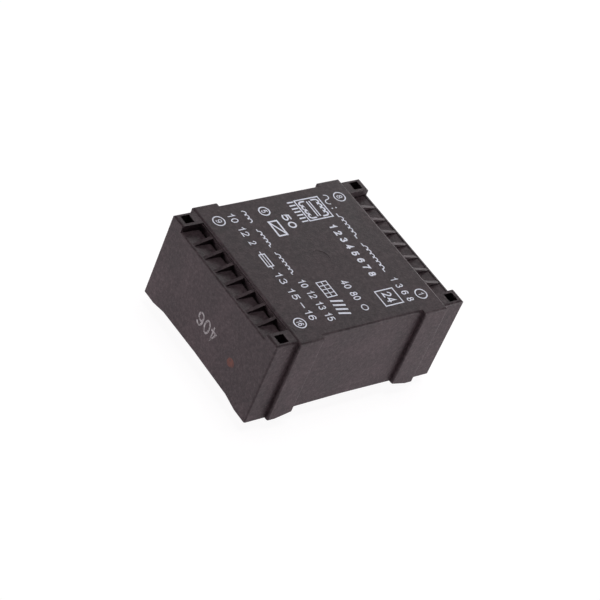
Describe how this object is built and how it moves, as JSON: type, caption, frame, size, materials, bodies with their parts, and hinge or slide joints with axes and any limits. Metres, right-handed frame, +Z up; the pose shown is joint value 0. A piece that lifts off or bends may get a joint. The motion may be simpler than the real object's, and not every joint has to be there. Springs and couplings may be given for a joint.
{
  "type": "pcb transformer",
  "caption": "Low-profile encapsulated mains transformer for a printed circuit board, with a potted U-I core, coils on two bobbins and rows of solder pins.",
  "frame": {"origin": "middle of the footprint, in the plane of the four feet that rest on the circuit board", "axes": "+X towards the row of primary pins, along the longest side; +Y from the front bobbin to the back bobbin; +Z up, away from the board"},
  "size_m": [0.053, 0.044, 0.0262],
  "materials": {
    "case": "moulded, matt with a fine grain",
    "resin": "cast, smooth",
    "core_sheet": "rolled and oxide coated",
    "bobbin": "moulded, glass filled",
    "winding_wire": "enamelled copper, satin",
    "winding_tape": "polyester film, smooth",
    "pin_metal": "tinned, satin"
  },
  "bodies": {
    "root": {"case": "case", "potting": "resin", "u_laminations": "core_sheet", "i_laminations": "core_sheet", "bobbin_front": "bobbin", "bobbin_back": "bobbin", "primary_winding_1": "winding_wire", "primary_winding_2": "winding_wire", "secondary_winding_1": "winding_wire", "secondary_winding_2": "winding_wire", "primary_tape_1": "winding_tape", "primary_tape_2": "winding_tape", "secondary_tape_1": "winding_tape", "secondary_tape_2": "winding_tape", "pin_1": "pin_metal", "pin_3": "pin_metal", "pin_6": "pin_metal", "pin_8": "pin_metal", "pin_10": "pin_metal", "pin_12": "pin_metal", "pin_13": "pin_metal", "pin_15": "pin_metal"}
  },
  "joints": []
}
